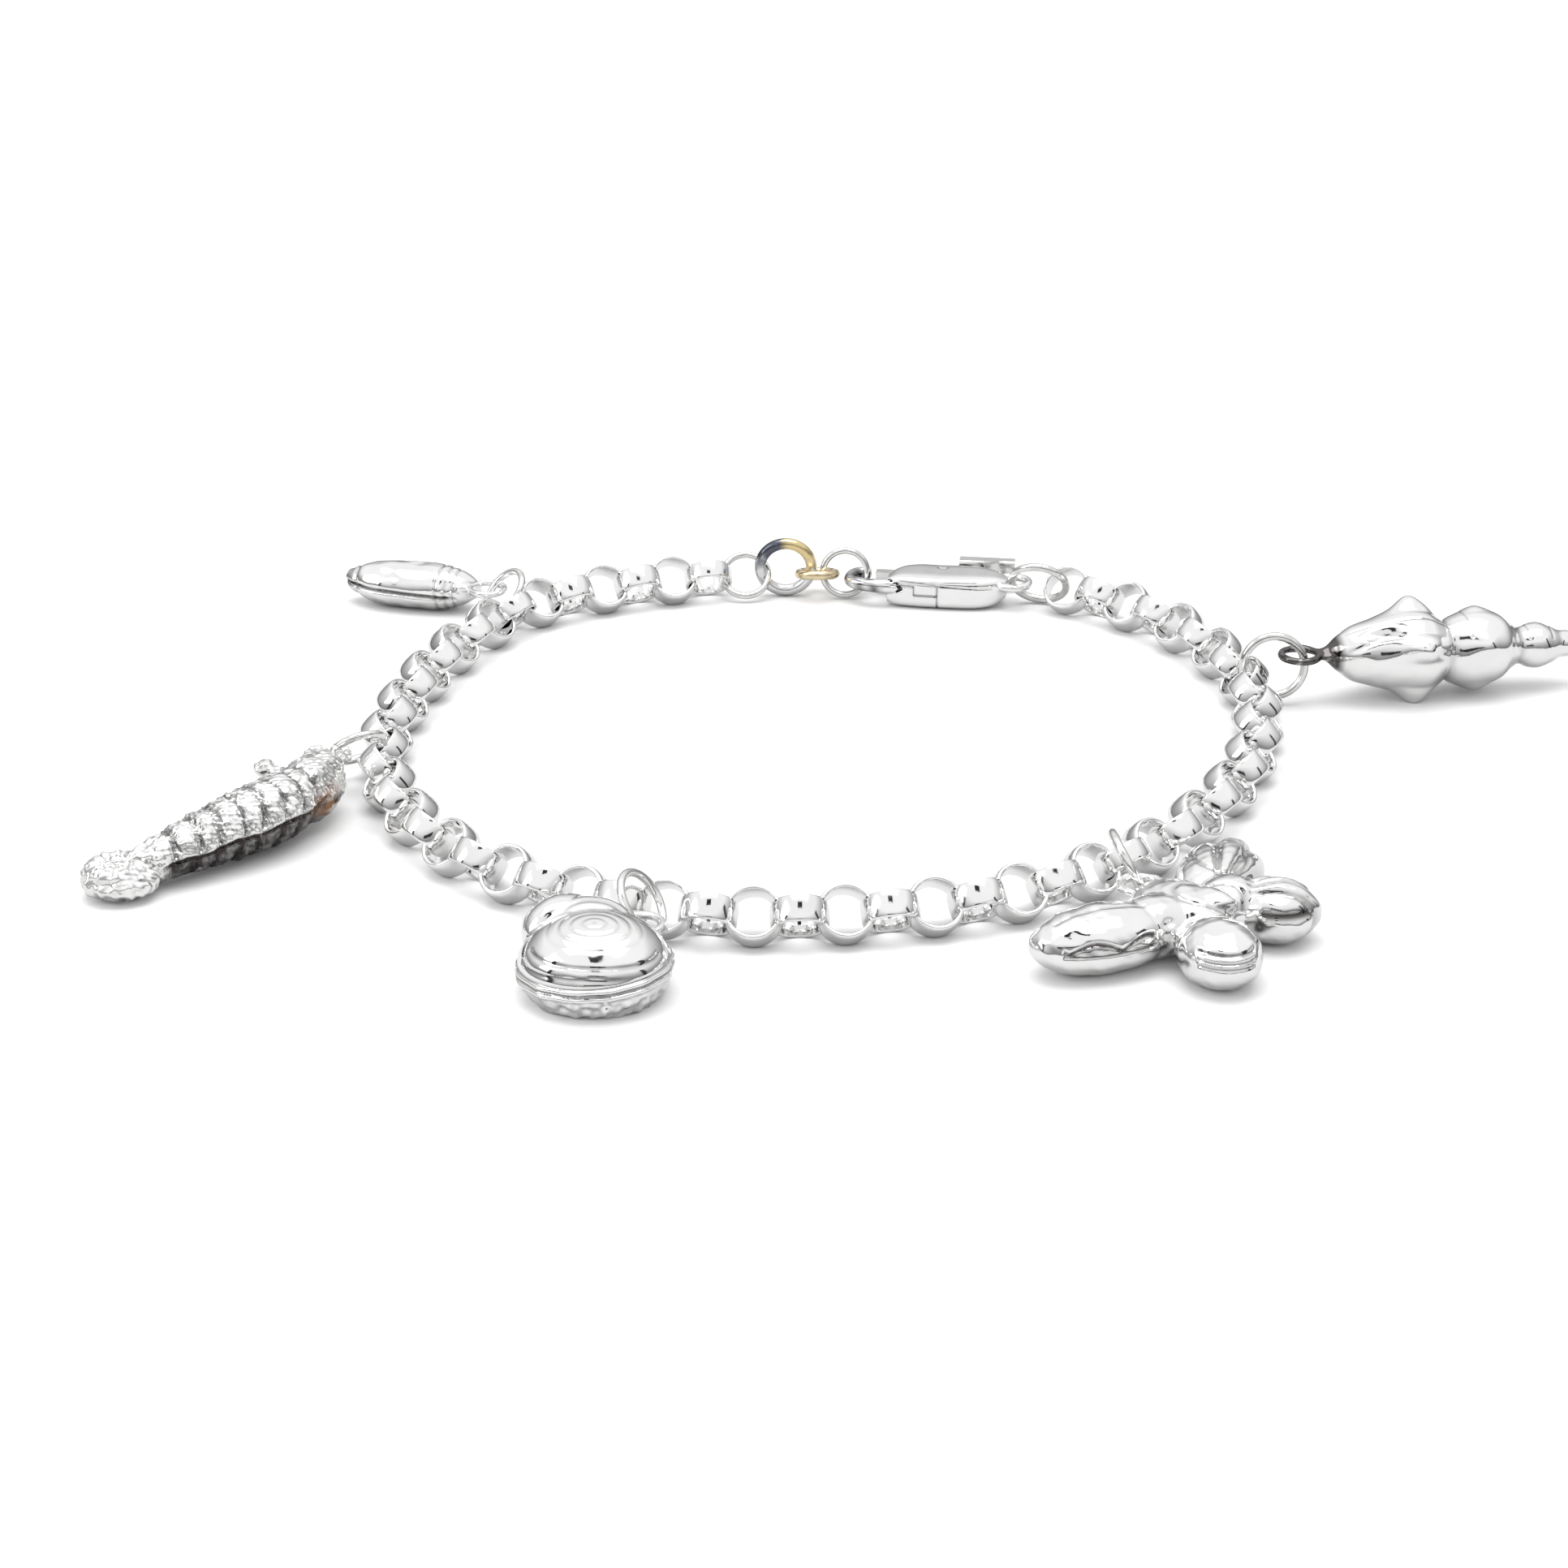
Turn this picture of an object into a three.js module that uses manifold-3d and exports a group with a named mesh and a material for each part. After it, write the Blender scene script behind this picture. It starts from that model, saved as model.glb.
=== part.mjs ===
// Charm bracelet lying closed on a flat surface: a belcher chain, five sea charms
// on jump rings, and a lobster clasp with a sprung lever.
// Millimetres, +Z up, the surface at z = 0. Places are given about the loop's middle;
// at the end the whole is moved so that the footprint's middle is the origin.

import * as THREE from "three";
import { mergeVertices } from "three/addons/utils/BufferGeometryUtils.js";
import Module from "manifold-3d";

const wasm = await Module();
wasm.setup();

// ---------------------------------------------------------------- driving dimensions
const LINK_OUTER = 1.85; // outside radius of one chain link
const LINK_INNER = 1.56;
const LINK_WIDTH = 1.4; // width of the domed band
const LINK_PITCH = 2.8; // from link to link along the chain
const CHAIN_HEIGHT = 1.75; // the chain's middle above the surface
const GAP = 0.3; // clearance between neighbouring pieces
const TUBE_SIDES = 8; // sides of the plain tube that carries the finer links
const TUBE_STEP = 3.5; // length of one straight piece of that tube

const SILVER = { color: 0xe4e4e2, roughness: 0.12, metalness: 1 };
const TARNISH = { color: 0x6d6f78, roughness: 0.3, metalness: 1 };
const GILT = { color: 0xd9bd7c, roughness: 0.2, metalness: 1 };

// The loop seen from above, clockwise from the link beside the clasp's tail.
const ROUTE = [
  { x: 18.8, y: 26.4 }, { x: 25.2, y: 20.3 }, { x: 28.8, y: 12.8 },
  { x: 30.2, y: 5.0 }, { x: 29.3, y: -3.5 }, { x: 26.2, y: -12.0 },
  { x: 20.6, y: -20.3 }, { x: 12.8, y: -26.6 }, { x: 4.0, y: -29.7 },
  { x: -6.2, y: -30.4 }, { x: -16.0, y: -27.3 }, { x: -24.0, y: -20.8 },
  { x: -28.8, y: -12.0 }, { x: -30.3, y: -3.0 }, { x: -29.4, y: 5.5 },
  { x: -27.0, y: 14.5 }, { x: -22.3, y: 23.0 }, { x: -14.6, y: 27.6 },
  { x: -5.8, y: 29.7 }, { x: 3.5, y: 29.9 }, { x: 11.5, y: 28.9 },
];

// The links that something hooks into, counted from the clasp's tail.
const TAIL_LINK = 0;
const CHARM_LINKS = [
  { charm: "conch", link: 8 },
  { charm: "butterfly", link: 20 },
  { charm: "clam", link: 31 },
  { charm: "seahorse", link: 43 },
  { charm: "olive", link: 53 },
];
const END_LINK = 59;

// ---------------------------------------------------------------- route
const routeCurve = new THREE.CatmullRomCurve3(
  ROUTE.map((row) => new THREE.Vector3(row.x, row.y, CHAIN_HEIGHT)),
  true,
);
routeCurve.arcLengthDivisions = 2000;
const ROUTE_LENGTH = routeCurve.getLength();

const pointAt = (distance) => routeCurve.getPointAt((distance / ROUTE_LENGTH + 1) % 1);
const tangentAt = (distance) => routeCurve.getTangentAt((distance / ROUTE_LENGTH + 1) % 1);
const linkCentre = (index) => pointAt(index * LINK_PITCH);

// Neighbouring links lean to opposite sides, so their axes cross at a right angle.
function linkAxis(index) {
  const along = tangentAt(index * LINK_PITCH);
  const outward = new THREE.Vector3(-along.y, along.x, 0);
  return outward.multiplyScalar(index % 2 ? 1 : -1).setZ(1).normalize();
}

// ---------------------------------------------------------------- helpers
const bracelet = new THREE.Group();

function addMesh(name, geometry, finish) {
  const mesh = new THREE.Mesh(geometry, new THREE.MeshStandardMaterial(finish));
  mesh.name = name;
  bracelet.add(mesh);
  return mesh;
}

// A closed BufferGeometry as a manifold solid, and back.
function toSolid(geometry) {
  const bare = geometry.clone();
  bare.deleteAttribute("normal");
  bare.deleteAttribute("uv");
  const merged = mergeVertices(bare, 1e-4);
  return new wasm.Manifold(new wasm.Mesh({
    numProp: 3,
    vertProperties: new Float32Array(merged.attributes.position.array),
    triVerts: new Uint32Array(merged.index.array),
  }));
}

function toGeometry(solid) {
  const mesh = solid.getMesh();
  const geometry = new THREE.BufferGeometry();
  geometry.setAttribute("position", new THREE.BufferAttribute(mesh.vertProperties, 3));
  geometry.setIndex(new THREE.BufferAttribute(mesh.triVerts, 1));
  geometry.computeVertexNormals();
  return geometry;
}

const join = (parts) => parts.map(toSolid).reduce((all, part) => all.add(part));

function boxBetween(low, high) {
  const size = new THREE.Vector3().subVectors(high, low);
  const middle = new THREE.Vector3().addVectors(low, high).multiplyScalar(0.5);
  return new THREE.BoxGeometry(size.x, size.y, size.z).translate(middle.x, middle.y, middle.z);
}

function ellipsoid(rx, ry, rz, columns = 16, rows = 10) {
  return new THREE.SphereGeometry(1, columns, rows).rotateX(Math.PI / 2).scale(rx, ry, rz);
}

// A closed skin through elliptical sections. Each row holds a section's middle, its
// half width across the spine and its half height along Z.
function loft(rows, sides = 12) {
  const positions = [];
  const index = [];
  const middle = (i) => new THREE.Vector3(rows[i].x, rows[i].y, rows[i].z);
  rows.forEach((row, i) => {
    const before = middle(Math.max(i - 1, 0));
    const after = middle(Math.min(i + 1, rows.length - 1));
    const across = after.sub(before).setZ(0).normalize().cross(new THREE.Vector3(0, 0, 1));
    for (let side = 0; side < sides; side += 1) {
      const angle = (side / sides) * Math.PI * 2;
      const point = middle(i).addScaledVector(across, row.wide * Math.cos(angle));
      positions.push(point.x, point.y, point.z + row.high * Math.sin(angle));
    }
  });
  for (let i = 0; i + 1 < rows.length; i += 1) {
    for (let side = 0; side < sides; side += 1) {
      const next = (side + 1) % sides;
      const [a, b] = [i * sides + side, i * sides + next];
      const [c, d] = [a + sides, b + sides];
      index.push(a, d, b, a, c, d);
    }
  }
  const lastRing = (rows.length - 1) * sides;
  for (let side = 1; side + 1 < sides; side += 1) {
    index.push(0, side, side + 1, lastRing, lastRing + side + 1, lastRing + side);
  }
  const geometry = new THREE.BufferGeometry();
  geometry.setAttribute("position", new THREE.Float32BufferAttribute(positions, 3));
  geometry.setIndex(index);
  return geometry;
}

// Turns a shape from its own axes to the given ones and moves it to a place.
function placed(geometry, place, xAxis, yAxis) {
  const zAxis = new THREE.Vector3().crossVectors(xAxis, yAxis).normalize();
  const matrix = new THREE.Matrix4().makeBasis(xAxis, yAxis, zAxis);
  return geometry.applyMatrix4(matrix.setPosition(place));
}

// A round wire ring whose axis points along nx, ny, nz.
function wireRing(row) {
  const facing = new THREE.Vector3(row.nx, row.ny, row.nz).normalize();
  const turn = new THREE.Quaternion().setFromUnitVectors(new THREE.Vector3(0, 0, 1), facing);
  return new THREE.TorusGeometry(row.radius, row.wire, 6, 24)
    .applyQuaternion(turn).translate(row.x, row.y, row.z);
}

// ---------------------------------------------------------------- chain
// One link: a flat-inside, domed-outside band, its axis at 45 degrees to the surface.
function linkGeometry(index) {
  const half = LINK_WIDTH / 2;
  const profile = [
    new THREE.Vector2(LINK_INNER, -half + 0.15),
    new THREE.Vector2(LINK_INNER + 0.12, -half),
    new THREE.Vector2(LINK_OUTER, -half * 0.5),
    new THREE.Vector2(LINK_OUTER, half * 0.5),
    new THREE.Vector2(LINK_INNER + 0.12, half),
    new THREE.Vector2(LINK_INNER, half - 0.15),
    new THREE.Vector2(LINK_INNER, -half + 0.15),
  ];
  const along = tangentAt(index * LINK_PITCH);
  return placed(new THREE.LatheGeometry(profile, 24), linkCentre(index), along, linkAxis(index));
}

// A stretch of links too fine to model singly: one tube along their thread.
function chainTube(start, end) {
  const steps = Math.round((end - start) / TUBE_STEP);
  const points = [];
  for (let i = 0; i <= steps; i += 1) {
    points.push(pointAt(start + ((end - start) * i) / steps));
  }
  const radius = CHAIN_HEIGHT / Math.cos(Math.PI / TUBE_SIDES);
  const section = new THREE.Shape();
  for (let side = 0; side < TUBE_SIDES; side += 1) {
    const angle = ((side + 0.5) / TUBE_SIDES) * Math.PI * 2;
    section[side ? "lineTo" : "moveTo"](radius * Math.cos(angle), radius * Math.sin(angle));
  }
  return new THREE.ExtrudeGeometry(section, {
    steps, bevelEnabled: false, extrudePath: new THREE.CatmullRomCurve3(points),
  });
}

function addChain() {
  const reach = LINK_OUTER + GAP;
  const stops = [TAIL_LINK, ...CHARM_LINKS.map((row) => row.link), END_LINK];
  for (let i = 0; i + 1 < stops.length; i += 1) {
    const tube = chainTube(stops[i] * LINK_PITCH + reach, stops[i + 1] * LINK_PITCH - reach);
    addMesh(`chain_${i + 1}`, tube, SILVER);
  }
  addMesh("tail_link", linkGeometry(TAIL_LINK), SILVER);
  CHARM_LINKS.forEach((row) => addMesh(`${row.charm}_link`, linkGeometry(row.link), SILVER));
  addMesh("end_link", linkGeometry(END_LINK), SILVER);
}

// ---------------------------------------------------------------- charms
const BAIL_HOLE = 1.05; // radius of the hole that a jump ring passes through
const BAIL_THICK = 0.7;
const BAIL_OUTER = 1.6;

// Where each jump ring passes through its charm.
const BAILS = {
  conch: new THREE.Vector3(33.85, 7.9, 3.7),
  butterfly: new THREE.Vector3(19.2, -26.7, 2.0),
  clam: new THREE.Vector3(-11.6, -33.2, 2.5),
  seahorse: new THREE.Vector3(-33.7, -7.4, 2.5),
  olive: new THREE.Vector3(-25.6, 25.2, 2.3),
};

// A flat eye lying level round a bail's hole.
const eye = (place) => new THREE.CylinderGeometry(BAIL_OUTER, BAIL_OUTER, BAIL_THICK, 16)
  .rotateX(Math.PI / 2).translate(place.x, place.y, place.z);
const eyeHole = (place, radius = BAIL_HOLE) => toSolid(
  new THREE.CylinderGeometry(radius, radius, 4, 12)
    .rotateX(Math.PI / 2).translate(place.x, place.y, place.z),
);

// Everything below the surface is pressed flat.
const belowSurface = () => toSolid(boxBetween(
  new THREE.Vector3(-90, -90, -20), new THREE.Vector3(90, 90, 0),
));

// Joins a charm's parts with its eye and a short neck that leans by `turn` degrees.
function finishCharm(parts, place, turn) {
  const angle = THREE.MathUtils.degToRad(turn);
  const neck = ellipsoid(1.5, 1.0, BAIL_THICK / 2, 12, 6).rotateZ(angle)
    .translate(place.x + 1.6 * Math.cos(angle), place.y + 1.6 * Math.sin(angle), place.z);
  const whole = join([...parts, eye(place), neck]);
  return toGeometry(whole.subtract(eyeHole(place)).subtract(belowSurface()));
}

// Smooth, slightly flattened olive shell with a blunt tip.
function oliveShell() {
  const rows = [
    { x: -26.4, y: 26.2, z: 1.8, wide: 0.7, high: 0.5 },
    { x: -27.5, y: 26.6, z: 1.8, wide: 1.5, high: 1.2 },
    { x: -29.0, y: 27.1, z: 1.75, wide: 2.0, high: 1.7 },
    { x: -31.5, y: 27.7, z: 1.75, wide: 2.15, high: 1.75 },
    { x: -34.0, y: 28.3, z: 1.75, wide: 1.9, high: 1.65 },
    { x: -35.8, y: 28.8, z: 1.85, wide: 1.2, high: 1.1 },
    { x: -36.8, y: 29.1, z: 2.1, wide: 0.5, high: 0.45 },
  ];
  return finishCharm([loft(rows, 14)], BAILS.olive, 160);
}

// Seahorse lying on its side: crowned head, ribbed body, curled tail.
function seahorse() {
  const body = [
    { x: -33.8, y: -9.6, z: 2.1, wide: 1.1, high: 1.1 },
    { x: -34.0, y: -12.4, z: 2.4, wide: 1.8, high: 2.2 },
    { x: -35.6, y: -16.0, z: 2.4, wide: 2.4, high: 2.4 },
    { x: -38.2, y: -18.6, z: 2.2, wide: 2.3, high: 2.2 },
    { x: -40.6, y: -20.8, z: 1.9, wide: 1.9, high: 1.9 },
    { x: -42.8, y: -22.6, z: 1.7, wide: 1.4, high: 1.6 },
  ];
  const snout = [
    { x: -34.2, y: -12.6, z: 2.4, wide: 1.0, high: 1.0 },
    { x: -36.2, y: -10.9, z: 2.4, wide: 0.5, high: 0.5 },
    { x: -37.6, y: -9.7, z: 2.4, wide: 0.65, high: 0.65 },
  ];
  const tail = ellipsoid(2.8, 2.3, 1.4, 18, 10).translate(-44.7, -24.0, 1.4);
  return finishCharm([loft(body, 14), loft(snout, 8), tail], BAILS.seahorse, -100);
}

// Clam: a high domed valve on a shallow one, with a rim between them.
function clamShell() {
  const middle = new THREE.Vector3(-14.2, -37.2, 1.8);
  const half = { x: 4.75, y: 4.35 };
  const parts = [
    ellipsoid(half.x, half.y, 0.45, 24, 6),
    ellipsoid(half.x - 0.25, half.y - 0.25, 3.45, 24, 12),
    ellipsoid(2.4, 2.1, 2.2, 14, 10).translate(-2.1, 3.2, 0.9),
  ].map((part) => part.translate(middle.x, middle.y, middle.z));
  return finishCharm(parts, BAILS.clam, -110);
}

// Plump butterfly: two large and two small lobes round an oval body.
function butterfly() {
  const lobes = [
    { x: 16.1, y: -34.0, long: 4.7, wide: 2.5, high: 2.1, turn: 20 },
    { x: 24.2, y: -25.6, long: 4.4, wide: 2.7, high: 2.1, turn: 68 },
    { x: 22.7, y: -36.0, long: 3.0, wide: 2.5, high: 2.0, turn: -75 },
    { x: 27.0, y: -29.9, long: 2.9, wide: 2.6, high: 2.0, turn: -5 },
    { x: 21.8, y: -30.9, long: 3.6, wide: 2.1, high: 2.1, turn: -45 },
  ];
  const parts = lobes.map((lobe) => ellipsoid(lobe.long, lobe.wide, lobe.high)
    .rotateZ(THREE.MathUtils.degToRad(lobe.turn)).translate(lobe.x, lobe.y, lobe.high - 0.12));
  return finishCharm(parts, BAILS.butterfly, -52);
}

// Conch: knobbed body whorl, two smaller whorls and a spire, with a flat bail.
function conchShell() {
  const radii = [
    { s: 1.1, r: 0.4 }, { s: 2.2, r: 0.5 }, { s: 3.2, r: 1.5 }, { s: 5.5, r: 2.5 }, { s: 8.3, r: 3.5 },
    { s: 9.8, r: 2.7 }, { s: 10.8, r: 2.1 }, { s: 12.3, r: 2.7 }, { s: 13.8, r: 2.9 },
    { s: 15.6, r: 1.9 }, { s: 16.6, r: 1.4 }, { s: 17.8, r: 1.7 }, { s: 19.6, r: 1.3 },
    { s: 21.4, r: 0.4 },
  ];
  const turn = THREE.MathUtils.degToRad(11);
  const along = new THREE.Vector3(Math.cos(turn), Math.sin(turn), -0.03).normalize();
  const across = new THREE.Vector3(-Math.sin(turn), Math.cos(turn), 0);
  const profile = [new THREE.Vector2(0, 1.1), ...radii.map((row) => new THREE.Vector2(row.r, row.s)),
    new THREE.Vector2(0, 21.8)];
  const start = BAILS.conch;
  const turned = placed(
    new THREE.LatheGeometry(profile, 16), start,
    new THREE.Vector3().crossVectors(along, across).negate(), along,
  );
  const knobs = [0, 1, 2, 3].map((i) => {
    const angle = (i * Math.PI) / 2 + 0.1;
    const knob = start.clone().addScaledVector(along, 8.2)
      .addScaledVector(across, 3.1 * Math.cos(angle));
    return ellipsoid(0.9, 0.7, 0.7, 10, 6).translate(knob.x, knob.y, knob.z + 3.1 * Math.sin(angle));
  });
  return finishCharm([turned, ...knobs], BAILS.conch, 11);
}

function addCharms() {
  addMesh("olive_shell", oliveShell(), SILVER);
  addMesh("seahorse", seahorse(), SILVER);
  addMesh("clam_shell", clamShell(), SILVER);
  addMesh("butterfly", butterfly(), SILVER);
  addMesh("conch_shell", conchShell(), SILVER);
}

// ---------------------------------------------------------------- rings
// One jump ring for each charm, the clasp's tail ring, and the row of rings that the
// clasp's hook closes on.
const RINGS = [
  {
    name: "conch_ring", x: 32.0, y: 7.8, z: 2.9, radius: 2.2, wire: 0.3,
    nx: 0, ny: 1, nz: -0.1,
  },
  {
    name: "butterfly_ring", x: 18.6, y: -24.6, z: 2.5, radius: 2.2, wire: 0.3,
    nx: 0.88, ny: 0.1, nz: 0.47,
  },
  {
    name: "clam_ring", x: -11.6, y: -31.3, z: 3.1, radius: 1.95, wire: 0.27,
    nx: 0.78, ny: -0.26, nz: 0.57,
  },
  {
    name: "seahorse_ring", x: -31.77, y: -6.66, z: 2.73, radius: 1.88, wire: 0.27,
    nx: -0.37, ny: 0.64, nz: 0.67,
  },
  {
    name: "olive_ring", x: -24.17, y: 23.62, z: 2.63, radius: 1.82, wire: 0.27,
    nx: -0.65, ny: -0.35, nz: 0.68,
  },
  {
    name: "tail_ring", x: 16.6, y: 27.0, z: 2.1, radius: 2.1, wire: 0.3,
    nx: 0.19, ny: 0.8, nz: 0.57,
  },
  {
    name: "plain_ring", x: -5.95, y: 29.6, z: 1.8, radius: 1.75, wire: 0.22,
    nx: 0, ny: -0.7, nz: 0.7,
  },
  {
    name: "tarnished_ring", x: -2.85, y: 29.7, z: 2.4, radius: 2.0, wire: 0.34,
    nx: 0, ny: 1, nz: 0.1,
  },
  {
    name: "gilt_ring", x: -0.4, y: 29.7, z: 1.9, radius: 1.4, wire: 0.3,
    nx: 0, ny: 0.25, nz: 1,
  },
  {
    name: "beak_ring", x: 1.75, y: 29.5, z: 2.05, radius: 1.72, wire: 0.26,
    nx: 0, ny: 1, nz: -0.2,
  },
];
const RING_FINISH = { tarnished_ring: TARNISH, gilt_ring: GILT };

function addRings() {
  RINGS.forEach((row) => addMesh(row.name, wireRing(row), RING_FINISH[row.name] ?? SILVER));
}

// ---------------------------------------------------------------- clasp
// Its own frame: X from beak to tail, Y out on the lever's side, Z up.
const CLASP = {
  thick: 2.6,
  bevel: 0.45,
  turn: -8, // degrees from the X axis
  place: new THREE.Vector3(1.7, 29.6, 0),
};
const HOOK = { low: 1.1, high: 2.2 };
const TAIL_EYE = { x: 13.0, z: 1.85, outer: 1.6, hole: 1.0, thick: 0.9 };
const LEVER = {
  low: 0.75, high: 1.85, thumbTop: 2.6, slotLow: 0.5, slotHigh: 2.1,
  pivotX: 7.6, pivotY: 0.75, pin: 0.35,
};

const intoPlace = (geometry) => geometry
  .rotateZ(THREE.MathUtils.degToRad(CLASP.turn))
  .translate(CLASP.place.x, CLASP.place.y, CLASP.place.z);

function extruded(shape, low, high, bevel = 0) {
  return new THREE.ExtrudeGeometry(shape, {
    depth: high - low - 2 * bevel, bevelEnabled: bevel > 0, bevelSize: bevel,
    bevelThickness: bevel, bevelOffset: -bevel, bevelSegments: 1, curveSegments: 6,
  }).translate(0, 0, low + bevel);
}

const upright = (radius, height, x, y, z, sides = 12) => new THREE
  .CylinderGeometry(radius, radius, height, sides).rotateX(Math.PI / 2).translate(x, y, z);

function claspBody() {
  const hook = new THREE.Shape();
  hook.moveTo(2.0, 1.75);
  hook.quadraticCurveTo(0, 1.7, 0, 0.1);
  hook.quadraticCurveTo(0, -1.8, 2.6, -1.95);
  hook.lineTo(5.0, -1.9);
  hook.lineTo(5.0, -0.8);
  hook.quadraticCurveTo(2.7, -1.4, 1.3, -0.4);
  hook.quadraticCurveTo(0.9, 0.6, 2.0, 0.85);
  const body = new THREE.Shape();
  body.moveTo(3.6, -2.0);
  body.lineTo(9.0, -2.1);
  body.quadraticCurveTo(12.2, -1.9, 12.4, -0.8);
  body.lineTo(12.4, 0.8);
  body.quadraticCurveTo(12.0, 1.8, 9.8, 1.95);
  body.lineTo(4.8, 2.0);
  body.lineTo(4.6, -0.6);
  const slot = boxBetween(
    new THREE.Vector3(4.0, -0.7, LEVER.slotLow), new THREE.Vector3(10.6, 3, LEVER.slotHigh),
  );
  const parts = [
    extruded(hook, HOOK.low, HOOK.high, 0.25),
    extruded(body, 0, CLASP.thick, CLASP.bevel),
    upright(TAIL_EYE.outer, TAIL_EYE.thick, TAIL_EYE.x, 0, TAIL_EYE.z, 20),
  ];
  const solid = join(parts)
    .subtract(toSolid(slot))
    .subtract(toSolid(upright(TAIL_EYE.hole, 6, TAIL_EYE.x, 0, TAIL_EYE.z, 16)))
    .subtract(toSolid(upright(LEVER.pin + GAP / 2, 6, LEVER.pivotX, LEVER.pivotY, 1.3)));
  return intoPlace(toGeometry(solid));
}

function claspLever() {
  const outline = new THREE.Shape();
  outline.moveTo(2.35, 1.65);
  outline.lineTo(2.35, 0.95);
  outline.quadraticCurveTo(4.5, 0.6, 6.6, -0.1);
  outline.lineTo(8.4, -0.1);
  outline.lineTo(9.2, 1.0);
  outline.lineTo(10.6, 2.5);
  outline.lineTo(13.0, 2.75);
  outline.lineTo(13.0, 3.4);
  outline.lineTo(8.6, 3.4);
  outline.lineTo(6.8, 1.75);
  const thumb = new THREE.Shape();
  thumb.moveTo(8.7, 2.4);
  thumb.lineTo(10.6, 2.5);
  thumb.lineTo(13.0, 2.75);
  thumb.lineTo(13.0, 3.4);
  thumb.lineTo(8.7, 3.4);
  const bar = extruded(outline, LEVER.low, LEVER.high);
  const solid = join([bar, extruded(thumb, LEVER.high - 0.1, LEVER.thumbTop)])
    .subtract(toSolid(upright(LEVER.pin + GAP / 2, 6, LEVER.pivotX, LEVER.pivotY, 1.3)));
  return intoPlace(toGeometry(solid));
}

function addClasp() {
  addMesh("clasp_body", claspBody(), SILVER);
  addMesh("clasp_lever", claspLever(), SILVER);
  const pin = upright(LEVER.pin, CLASP.thick - 0.1, LEVER.pivotX, LEVER.pivotY, CLASP.thick / 2);
  addMesh("clasp_pin", intoPlace(pin), SILVER);
}

addChain();
addCharms();
addRings();
addClasp();

// The origin is the middle of the footprint, on the surface.
const bounds = new THREE.Box3().setFromObject(bracelet);
const middle = bounds.getCenter(new THREE.Vector3());
bracelet.children.forEach((mesh) => mesh.geometry.translate(-middle.x, -middle.y, -bounds.min.z));

export default bracelet;
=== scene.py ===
import math

import bpy
import numpy as np
from mathutils import Matrix, Vector


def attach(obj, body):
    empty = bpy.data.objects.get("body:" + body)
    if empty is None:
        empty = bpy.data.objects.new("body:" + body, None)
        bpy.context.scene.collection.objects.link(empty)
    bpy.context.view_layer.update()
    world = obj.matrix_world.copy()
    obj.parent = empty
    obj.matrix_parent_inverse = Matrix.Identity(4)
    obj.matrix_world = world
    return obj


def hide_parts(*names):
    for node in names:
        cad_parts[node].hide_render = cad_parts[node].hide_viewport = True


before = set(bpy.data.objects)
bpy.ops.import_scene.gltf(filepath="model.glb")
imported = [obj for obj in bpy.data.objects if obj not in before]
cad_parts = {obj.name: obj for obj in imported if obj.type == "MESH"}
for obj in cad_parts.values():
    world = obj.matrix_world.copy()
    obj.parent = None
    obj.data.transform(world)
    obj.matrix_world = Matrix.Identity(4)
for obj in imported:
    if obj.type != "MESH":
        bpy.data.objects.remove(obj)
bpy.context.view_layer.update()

# Shapes are drawn in millimetres about the loop's middle, and moved into the frame once.
MM = 0.001
LOOP_MIDDLE = (-3.87, 4.89)
INTO_FRAME = (
    Matrix.Translation((LOOP_MIDDLE[0] * MM, LOOP_MIDDLE[1] * MM, 0.0))
    @ Matrix.Scale(MM, 4)
)
FLAT = 0.0
rng = np.random.default_rng(7)


# ------------------------------------------------------------ materials
def nodes_of(name):
    material = bpy.data.materials.new(name)
    material.use_nodes = True
    tree = material.node_tree
    shader = tree.nodes["Principled BSDF"]
    return material, tree, shader


def add(tree, kind, **inputs):
    node = tree.nodes.new(kind)
    for key, value in inputs.items():
        node.inputs[key.replace("_", " ")].default_value = value
    return node


def ramp(tree, source, stops):
    node = tree.nodes.new("ShaderNodeValToRGB")
    while len(node.color_ramp.elements) < len(stops):
        node.color_ramp.elements.new(0.5)
    for element, (place, colour) in zip(node.color_ramp.elements, stops):
        element.position = place
        element.color = (*colour, 1.0)
    tree.links.new(source, node.inputs["Fac"])
    return node.outputs["Color"]


def grey(value):
    return (value, value, value)


def mix(tree, factor, a, b, kind="MIX"):
    node = tree.nodes.new("ShaderNodeMix")
    node.data_type = "RGBA"
    node.blend_type = kind
    for socket, value in ((node.inputs[0], factor), (node.inputs[6], a), (node.inputs[7], b)):
        if hasattr(value, "is_output"):
            tree.links.new(value, socket)
        elif isinstance(value, tuple):
            socket.default_value = (*value, 1.0)
        else:
            socket.default_value = value
    return node.outputs[2]


def noise(tree, scale, detail=3.0, rough=0.5):
    place = tree.nodes.new("ShaderNodeNewGeometry")
    node = add(tree, "ShaderNodeTexNoise", Scale=scale, Detail=detail, Roughness=rough)
    tree.links.new(place.outputs["Position"], node.inputs["Vector"])
    return node.outputs["Fac"]


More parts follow.
